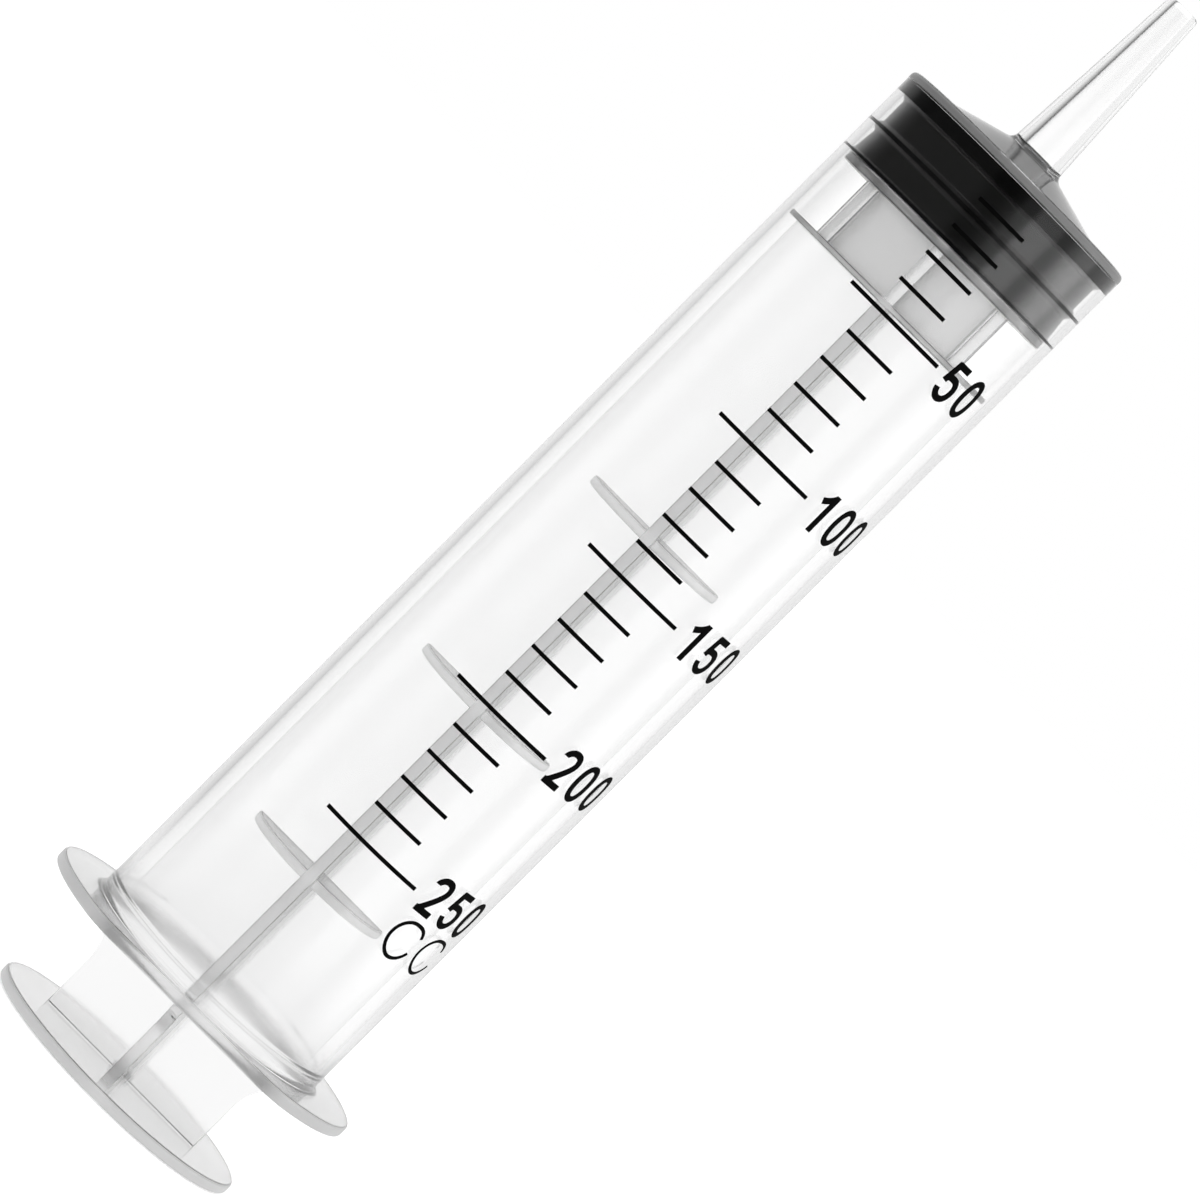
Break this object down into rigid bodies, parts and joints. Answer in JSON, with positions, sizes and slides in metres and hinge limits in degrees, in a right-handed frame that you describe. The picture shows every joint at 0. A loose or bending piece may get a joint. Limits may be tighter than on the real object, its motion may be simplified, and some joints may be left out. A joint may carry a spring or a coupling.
{
  "type": "plastic syringe",
  "caption": "Large clear plastic syringe with a tapered nozzle, a finger flange, a crossed-fin plunger rod with a round thumb plate and a black rubber piston.",
  "frame": {"origin": "centre of the thumb plate's rear face, which is the lowest point of the part", "axes": "+Z along the common axis from the thumb plate to the nozzle, -Y towards the printed scale's side, +X and -X along the two wings of the finger flange"},
  "size_m": [0.066, 0.0524, 0.251],
  "materials": {
    "clear_polypropylene": "clear moulded polypropylene, glossy, grey where it is seen edge-on",
    "milky_polypropylene": "slightly milky moulded polypropylene, glossy",
    "black_rubber": "smooth black moulded rubber with a film of silicone oil",
    "black_ink": "opaque black printed scale"
  },
  "bodies": {
    "plunger_rod": {"plunger_rod": "milky_polypropylene"},
    "rubber_piston": {"rubber_piston": "black_rubber"},
    "barrel": {"barrel": "clear_polypropylene"}
  },
  "joints": [
    {"name": "piston_turn", "type": "hinge", "parent": "plunger_rod", "child": "rubber_piston", "pos_m": [0, 0, 0.2], "axis": [0, 0, 1], "continuous": true},
    {"name": "barrel_slide", "type": "slide", "parent": "rubber_piston", "child": "barrel", "axis": [0, 0, 1], "range_m": [0, 0.169]}
  ]
}
